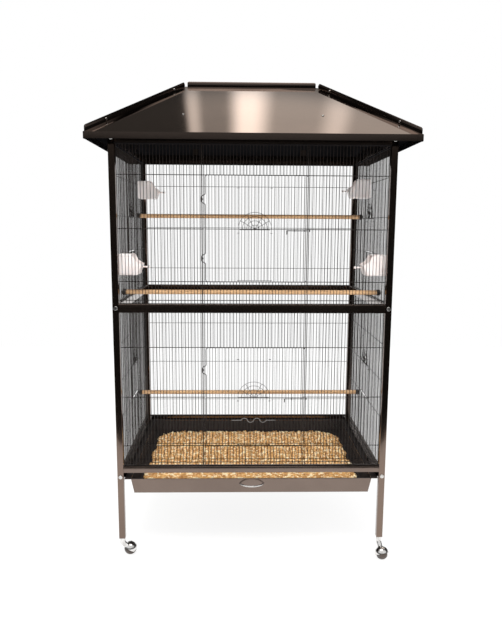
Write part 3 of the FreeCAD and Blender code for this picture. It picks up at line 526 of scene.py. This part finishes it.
def liftDoor(node, along, columns):
    low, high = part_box(node)
    middle = (low + high) / 2
    half = wires["inset"]
    bm = bmesh.new()

    def point(u, z):
        return (u, middle.y, z) if along == 0 else (middle.x, u, z)

    places = [low[along] + half + i * wires["pitch"] for i in range(columns + 1)]
    for u in places:
        wireRun(bm, point(u, low.z), point(u, high.z), feedDoor["edge"])
    for z in (low.z + half, high.z - half):
        wireRun(bm, point(places[0], z), point(places[-1], z), feedDoor["edge"])
    inset = feedDoor["barInset"]
    wireRun(bm, point(places[0] + inset, high.z - 2 * half), point(places[-1] - inset, high.z - 2 * half),
            feedDoor["bar"], 12)
    addPiece("wires_" + node, bm, [node])


for storey in ("lower", "upper"):
    frontDoor(storey)
    liftDoor("front_feed_door_" + storey, 0, door["feedColumns"])
    for side in ("left", "right"):
        liftDoor(side + "_feed_door_" + storey, 1, feedDoor["sideColumns"])

sideTrim = {"guideX": 0.5325, "edge": 0.0693, "levels": (0.005, 0.1374, 0.2697),
            "fanX": 0.529, "opening": 0.1524, "bottom": {"lower": 0.580, "upper": 1.2416}}
bm = bmesh.new()
for way in (-1, 1):
    for storey in ("lower", "upper"):
        for edge in (-1, 1):
            for level in sideTrim["levels"]:
                spot = (way * sideTrim["guideX"], edge * sideTrim["edge"], sideTrim["bottom"][storey] + level)
                wireRing(bm, spot, upright, door["guideRing"], door["guideWire"])
addPiece("guideRings", bm, ["side_feed_guides"])
bm = bmesh.new()
for way in (-1, 1):
    for storey in ("lower", "upper"):
        addFan(bm, (way * sideTrim["fanX"], 0, sideTrim["bottom"][storey] + sideTrim["opening"]), intoCage,
               -way * acrossCage)
addPiece("sideFans", bm, ["side_fans"])
print("doors and their wire ornaments made")

grate = {"pitch": 0.0254, "wire": 0.0018, "wireLift": 0.003, "bar": 0.0024, "barLift": 0.0013, "inset": 0.001,
         "bars": (-0.236, -0.048, 0.140)}
low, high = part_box("floor_grate")
bm = bmesh.new()
count = int((high.x - low.x) / grate["pitch"])
for i in range(count + 1):
    x = (i - count / 2) * grate["pitch"]
    x = min(max(x, low.x + grate["inset"]), high.x - grate["inset"])
    level = low.z + grate["wireLift"]
    wireRun(bm, (x, low.y, level), (x, high.y, level), grate["wire"])
for y in (low.y + grate["inset"],) + grate["bars"] + (high.y - grate["inset"],):
    level = low.z + grate["barLift"]
    wireRun(bm, (low.x, y, level), (high.x, y, level), grate["bar"])
addPiece("grateWires", bm, ["floor_grate"])

perch = {"thick": 0.019, "places": ((0.1764, 1.4005), (-0.2394, 1.086), (0.126, 0.559)), "sides": 36}
low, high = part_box("perches")
bm = bmesh.new()
for y, z in perch["places"]:
    wireRun(bm, (low.x, y, z), (high.x, y, z), perch["thick"], perch["sides"])
addPiece("dowelPerches", bm, ["perches"])
print("grate and perches made")

cup = {"outline": ((0, 0), (0, 0.082), (0.058, 0.082), (0.074, 0.054), (0.096, 0.041), (0.082, 0)),
       "width": 0.088, "wall": 0.002, "round": 0.006, "panel": 0.530, "mouthFrom": 0.06, "mouthSlope": 0.2,
       "steps": 4, "peg": 0.006,
       "pegRoot": (0.0926, 0.031), "pegLength": 0.027, "ball": 0.010,
       "places": {"feeder_cups_high": ((-1, 0.235, 1.481), (1, 0.034, 1.481)),
                  "feeder_cups_front": ((-1, -0.318, 1.164), (1, -0.318, 1.164))}}


def feederCup(bm, way, y, z):
    def point(u, w):
        return Vector((way * (cup["panel"] - u), y - cup["width"] / 2, z + w))

    verts = [bm.verts.new(point(u, w)) for u, w in cup["outline"]]
    side = bm.faces.new(verts)
    made = bmesh.ops.extrude_face_region(bm, geom=[side])["geom"]
    bmesh.ops.translate(bm, verts=onlyVerts(made), vec=(0, cup["width"], 0))
    bmesh.ops.reverse_faces(bm, faces=[side])


for node, places in cup["places"].items():
    bm = bmesh.new()
    for way, y, z in places:
        feederCup(bm, way, y, z)
    bmesh.ops.recalc_face_normals(bm, faces=bm.faces)
    mouth = []
    for face in bm.faces:
        reach = cup["panel"] - abs(face.calc_center_median().x)
        if reach > cup["mouthFrom"] and face.normal.z > cup["mouthSlope"]:
            mouth.append(face)
    bmesh.ops.delete(bm, geom=mouth, context="FACES_ONLY")
    rims = [edge for edge in bm.edges if len(edge.link_faces) == 0]
    bmesh.ops.delete(bm, geom=rims, context="EDGES")
    corners = [edge for edge in bm.edges if len(edge.link_faces) == 2]
    bmesh.ops.bevel(bm, geom=corners, offset=cup["round"], segments=cup["steps"], profile=0.5, affect="EDGES",
                    material=-1)
    addPiece("cupShells_" + node, bm, [node], sharp=50.0, wall=cup["wall"])
    bm = bmesh.new()
    for way, y, z in places:
        root = Vector((way * (cup["panel"] - cup["pegRoot"][0]), y, z + cup["pegRoot"][1]))
        tip = root - Vector((way * cup["pegLength"], 0, 0))
        wireRun(bm, root, tip, cup["peg"], 16)
        bmesh.ops.create_uvsphere(bm, u_segments=20, v_segments=12, radius=cup["ball"] / 2,
                                  matrix=Matrix.Translation(tip))
    addPiece("cupPegs_" + node, bm, [node])
print("feeder cups made")

seam = {"fascia": 0.024, "ridgeEnd": 0.2842, "hipHeight": 0.021, "ridgeHeight": 0.02, "width": 0.008,
        "sink": 0.003, "nose": 0.007, "round": 0.0012, "fromEave": 0.008, "fromRidge": 0.012,
        "ridgeHalf": 0.276}


def seamStrip(bm, start, end, across, height):  # upright strip on a joint of two roof sheets
    lift = height + seam["sink"]
    place = Matrix((end - start, across * seam["width"], upright * lift)).transposed().to_4x4()
    place.translation = (start + end) / 2 + upright * (lift / 2 - seam["sink"])
    verts = bmesh.ops.create_cube(bm, size=1.0, matrix=place)["verts"]
    edges = {edge for vert in verts for edge in vert.link_edges}
    noses = []
    for edge in edges:
        level = (edge.verts[0].co + edge.verts[1].co) / 2 - (start + end) / 2
        lying = abs((edge.verts[0].co - edge.verts[1].co).dot(across)) > seam["width"] / 2
        above = level.z - (end - start).z * level.dot(end - start) / (end - start).length_squared
        if lying and above > 0:
            noses.append(edge)
    bmesh.ops.bevel(bm, geom=noses, offset=seam["nose"], segments=5, profile=0.5, affect="EDGES", material=-1)


def breakEdges(bm):  # rounds every edge sharper than one radian
    sharp = [edge for edge in bm.edges if edge.calc_face_angle(0) > 1.0]
    bmesh.ops.bevel(bm, geom=sharp, offset=seam["round"], segments=2, profile=0.5, affect="EDGES", material=-1)


slopeLow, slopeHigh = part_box("roof_slope_front")
bm = bmesh.new()
for wayX in (-1, 1):
    for wayY in (-1, 1):
        corner = Vector((wayX * slopeHigh.x, wayY * abs(slopeLow.y), slopeLow.z + seam["fascia"]))
        apex = Vector((wayX * seam["ridgeEnd"], 0, slopeHigh.z))
        hip = (apex - corner).normalized()
        seamStrip(bm, corner + hip * seam["fromEave"], apex - hip * seam["fromRidge"],
                  upright.cross(hip).normalized(), seam["hipHeight"])
breakEdges(bm)
addPiece("hipStrips", bm, ["hip_caps"])
bm = bmesh.new()
ridgeEnds = [Vector((way * seam["ridgeHalf"], 0, slopeHigh.z)) for way in (-1, 1)]
seamStrip(bm, *ridgeEnds, intoCage, seam["ridgeHeight"])
breakEdges(bm)
addPiece("ridgeStrip", bm, ["ridge_cap"])
print("roof seams made")

litter = {"seed": 7, "grid": (150, 112), "heave": 0.004, "crumb": 0.002, "corner": 0.12, "fall": 0.045,
          "margin": (0.014, 0.004, -0.016),  # sides, front, back
          "wander": 0.016, "tile": 0.09, "chipsPerTile": 66, "chip": (0.0135, 0.0075, 0.0028),
          "bedGap": 0.004, "bedFoot": 0.0003, "bedLift": 0.0006, "bedTop": 0.006, "bedShadeTone": 0.12,
          "chipTop": 0.0045, "chipDrop": 0.008, "chipFoot": 0.0005,
          "wanderScale": 14, "heaveScale": 26.0, "crumbScale": 210.0, "toneScale": 300.0, "toneSpread": 0.3,
          "bareUnder": 0.01, "chipSizes": (0.5, 1.25), "chipLevels": (-0.002, 0.003), "chipLean": (0.35, 0.3),
          "chipTones": (0.95, 0.6), "chipWarp": (0.0006, 0.0006, 0.0002), "chipsThinOut": (0.03, 0.4)}
low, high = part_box("litter_bed")
rng = random.Random(litter["seed"])


def heaped(place):  # share of the full depth, falling off before the tray's walls
    side, front, back = litter["margin"]
    half = Vector(((high.x - low.x) / 2 - side, (high.y - low.y - front - back) / 2))
    away = Vector((abs(place.x - (low.x + high.x) / 2), abs(place.y - (low.y + front + high.y - back) / 2)))
    away = away - half + Vector((litter["corner"], litter["corner"]))
    reach = math.hypot(max(away.x, 0), max(away.y, 0)) + min(max(away), 0) - litter["corner"]
    scale = litter["wanderScale"]
    wander = litter["wander"] * noise.noise(Vector((place.x * scale, place.y * scale, 0.3)))
    share = min(max((wander - reach) / litter["fall"], 0), 1)
    return share * share * (3 - 2 * share)


bm = bmesh.new()
gap = litter["bedGap"]
bmesh.ops.create_grid(bm, x_segments=litter["grid"][0], y_segments=litter["grid"][1], size=0.5,
                      matrix=Matrix.Translation(((low.x + high.x) / 2, (low.y + high.y) / 2, low.z))
                      @ Matrix.Diagonal((high.x - low.x - gap, high.y - low.y - gap, 1, 1)))
tone = bm.verts.layers.float.new("tone")
bare = []
for vert in bm.verts:
    share = heaped(vert.co)
    bare += [vert] if share < litter["bareUnder"] else []
    lump = litter["heave"] * noise.fractal(vert.co * litter["heaveScale"], 1.0, 2.0, 4)
    lump += litter["crumb"] * noise.noise(vert.co * litter["crumbScale"])
    # the bed's dark tone is painted shade for the gaps between the chips, with a random spread on top
    vert[tone] = litter["bedShadeTone"] + litter["toneSpread"] * noise.noise(vert.co * litter["toneScale"])
    vert.co.z += litter["bedLift"] + share * (high.z - low.z - litter["bedTop"] + lump)
bmesh.ops.delete(bm, geom=bare, context="VERTS")
made = bmesh.ops.extrude_edge_only(bm, edges=[edge for edge in bm.edges if edge.is_boundary])["geom"]
for vert in onlyVerts(made):
    vert.co.z = low.z + litter["bedFoot"]
bmesh.ops.holes_fill(bm, edges=[edge for edge in onlyEdges(made) if edge.is_boundary])
addPiece("litterBed", bm, ["litter_bed"])

handful = bmesh.new()
tone = handful.verts.layers.float.new("tone")
for i in range(litter["chipsPerTile"]):
    size = [side * rng.uniform(*litter["chipSizes"]) for side in litter["chip"]]
    spot = Vector((rng.uniform(-0.5, 0.5) * litter["tile"], rng.uniform(-0.5, 0.5) * litter["tile"],
                   rng.uniform(*litter["chipLevels"])))
    turn = Matrix.Rotation(rng.uniform(0, math.tau), 4, "Z")
    for lean, axis in zip(litter["chipLean"], "XY"):
        turn = turn @ Matrix.Rotation(rng.gauss(0, lean), 4, axis)
    verts = bmesh.ops.create_cube(handful, size=1.0, matrix=Matrix.Translation(spot) @ turn
                                  @ Matrix.Diagonal((*size, 1)))["verts"]
    shadeOfChip = rng.betavariate(*litter["chipTones"])
    for vert in verts:
        vert.co += Vector([rng.gauss(0, warp) for warp in litter["chipWarp"]])
        vert[tone] = shadeOfChip
patch = bpy.data.meshes.new("handful")
handful.to_mesh(patch)
handful.free()
bm = bmesh.new()
columns = int((high.x - low.x) / litter["tile"])
rows = int((high.y - low.y) / litter["tile"])
for i in range(columns):
    for j in range(rows):
        spot = Vector((low.x + (i + 0.5) * (high.x - low.x) / columns,
                       low.y + (j + 0.5) * (high.y - low.y) / rows, high.z - litter["chipTop"]))
        before = len(bm.verts)
        bm.from_mesh(patch)
        bm.verts.ensure_lookup_table()
        fresh = bm.verts[before:]
        quarter = Matrix.Rotation(math.pi / 2 * rng.randrange(4), 3, "Z")
        bmesh.ops.rotate(bm, verts=fresh, cent=(0, 0, 0), matrix=quarter)
        bmesh.ops.translate(bm, verts=fresh, vec=spot)
bm.verts.ensure_lookup_table()
outside = []
for i in range(0, len(bm.verts), 8):  # eight corners of one chip
    chip = bm.verts[i:i + 8]
    share = heaped(sum((vert.co for vert in chip), Vector()) / 8)
    if share < rng.uniform(*litter["chipsThinOut"]):
        outside += chip
    for vert in chip:
        drop = (1 - share) * (high.z - low.z - litter["chipDrop"])
        vert.co.z = max(vert.co.z - drop, low.z + litter["chipFoot"])
bmesh.ops.delete(bm, geom=outside, context="VERTS")
chips = addPiece("litterChips", bm, ["litter_bed"], sharp=20.0)
bpy.data.meshes.remove(patch)
print("litter made:", len(chips.data.polygons), "chip faces")

studio = {"position": (-0.0608, -2.746, 1.3575), "tilt": 8.89, "yaw": 1.32, "roll": 0.32,  # degrees
          "focal": 609.1, "height": 642,  # pixels
          "lamps": {  # place, target, size, watts, colour
              "overheadSoftbox": ((-0.3, -0.9, 3.7), (0, 0, 0.8), (2.6, 1.8), 30.0, (1.0, 0.97, 0.93)),
              "frontSoftbox": ((-0.5, -1.95, 3.2), (0, 0, 0.3), (1.2, 1.0), 72.0, (1.0, 0.98, 0.95)),
              "lowSoftbox": ((1.4, -3.5, 0.9), (0, 0.1, 1.3), (1.6, 1.2), 96.0, (1.0, 0.96, 0.93))}}


def placeCamera(look):
    tilt, yaw, roll = (math.radians(look[key]) for key in ("tilt", "yaw", "roll"))
    forward = Vector((math.sin(yaw) * math.cos(tilt), math.cos(yaw) * math.cos(tilt), -math.sin(tilt)))
    right = Vector((math.cos(yaw), -math.sin(yaw), 0))
    above = right.cross(forward)
    columns = (right * math.cos(roll) + above * math.sin(roll),
               above * math.cos(roll) - right * math.sin(roll), -forward)
    lens = bpy.data.cameras.new("photoCamera")
    lens.sensor_width = 36.0
    lens.lens = look["focal"] / look["height"] * lens.sensor_width
    camera = bpy.data.objects.new("photoCamera", lens)
    scene.collection.objects.link(camera)
    camera.matrix_world = Matrix.Translation(look["position"]) @ Matrix(columns).transposed().to_4x4()
    scene.camera = camera


placeCamera(studio)
for name, (spot, target, size, watts, colour) in studio["lamps"].items():
    lamp = bpy.data.lights.new(name, "AREA")
    lamp.shape = "RECTANGLE"
    lamp.size, lamp.size_y = size
    lamp.energy = watts
    lamp.color = colour
    holder = bpy.data.objects.new(name, lamp)
    scene.collection.objects.link(holder)
    holder.matrix_world = Matrix.Translation(spot) @ aimed(Vector(target) - Vector(spot), "-Z")
    holder.visible_camera = False
    holder.visible_glossy = name == "overheadSoftbox"

sweep = {"white": shade(0.93, 0.93, 0.93), "front": -1.75, "back": 4.0, "half": 4.0, "keepShadow": 0.22,
         "rough": 0.9, "specular": 0.1, "glow": 1.05}
bm = bmesh.new()
bmesh.ops.create_grid(bm, x_segments=2, y_segments=2, size=0.5,
                      matrix=Matrix.Translation((0, (sweep["front"] + sweep["back"]) / 2, 0))
                      @ Matrix.Diagonal((2 * sweep["half"], sweep["back"] - sweep["front"], 1, 1)))
mesh = bpy.data.meshes.new("studioFloor")
bm.to_mesh(mesh)
bm.free()
floor = bpy.data.objects.new("studioFloor", mesh)
scene.collection.objects.link(floor)
paper = bpy.data.materials.new("whitePaper")
paper.use_nodes = True
tree = paper.node_tree
tap = Tap(tree)
base = tree.nodes["Principled BSDF"]
base.inputs["Base Color"].default_value = sweep["white"]
base.inputs["Roughness"].default_value = sweep["rough"]
base.inputs["Specular IOR Level"].default_value = sweep["specular"]
seen = tap.node("LightPath", out="Is Camera Ray")
shiny = tap.node("LightPath", out="Is Glossy Ray")
glow = tap.node("Emission", sockets={"Color": shade(1, 1, 1), "Strength": sweep["glow"]})
lit = (seen + shiny) * (1 - sweep["keepShadow"])
mixed = tap.node("MixShader", sockets={0: lit, 1: Tap(tree, base.outputs[0]), 2: glow})
tree.links.new(mixed.socket, tree.nodes["Material Output"].inputs["Surface"])
mesh.materials.append(paper)

sky = {"backdropInto": (0.02, 0.12), "backdropTop": (0.3, 0.4), "backdropSide": (0.25, 0.8),
       "ceilingInto": (0.1, 0.3), "ceilingFrom": (0.695, 0.725), "ceilingDim": 0.055,
       "brightBand": (-0.03, 0.015, 0.03, 0.09, 2.6),  # start, full, fading, end, level
       "secondBand": (0.18, 0.23, 0.235, 0.28, 0.9),
       "wispStart": (-0.125, -0.105), "wispFade": (-0.1, -0.075), "wispBack": (0.02, 0.08),
       "wispLevels": (1.5, 0.4), "behind": (-0.3, 0.0), "behindLow": (0.128, 0.14),
       "behindHigh": (0.28, 0.42), "behindLevels": (0.2, 0.6),
       "dim": 0.02, "fill": 1.2, "cool": shade(1, 1, 1), "warm": shade(1.0, 0.88, 0.78)}
world = bpy.data.worlds.new("studioWorld")
scene.world = world
world.use_nodes = True
tree = world.node_tree
tap = Tap(tree)
sight = tap.node("TexCoord", out="Generated")
x, y, z = (tap.node("SeparateXYZ", out=key, sockets={0: sight}) for key in ("X", "Y", "Z"))
seen = tap.node("LightPath", out="Is Camera Ray")
shiny = tap.node("LightPath", out="Is Glossy Ray")
lean = x / (y + 0.0001)


def lightBand(start, full, fading, end, level):
    return lean.step(start, full) * (1 - lean.step(fading, end)) * level


backdrop = y.step(*sky["backdropInto"]) * (1 - z.step(*sky["backdropTop"]))
backdrop = backdrop * (1 - (lean * lean).step(*sky["backdropSide"]))
ceiling = y.step(*sky["ceilingInto"]) * z.step(*sky["ceilingFrom"])  # what the front slope of the roof mirrors
bright = lightBand(*sky["brightBand"])
second = lightBand(*sky["secondBand"])
wispFull, wispRest = sky["wispLevels"]
wisp = wispFull - lean.step(*sky["wispFade"]) + lean.step(*sky["wispBack"]) * wispRest
wisp = lean.step(*sky["wispStart"]) * wisp
glossy = backdrop + ceiling * (wisp + bright + second + sky["ceilingDim"]) + sky["dim"]
lowLevel, highLevel = sky["behindLevels"]
behind = z.step(*sky["behindLow"]) * lowLevel + z.step(*sky["behindHigh"]) * highLevel
glossy = glossy + (1 - y.step(*sky["behind"])) * behind
level = seen + (1 - seen) * (shiny * glossy + (1 - shiny) * sky["fill"])
tint = (1 - seen) * shiny * ceiling
colour = tint.mix(sky["cool"], sky["warm"])
tree.links.new(colour.socket, tree.nodes["Background"].inputs["Color"])
tree.links.new(level.socket, tree.nodes["Background"].inputs["Strength"])
scene.view_settings.view_transform = "Standard"
print("studio set")
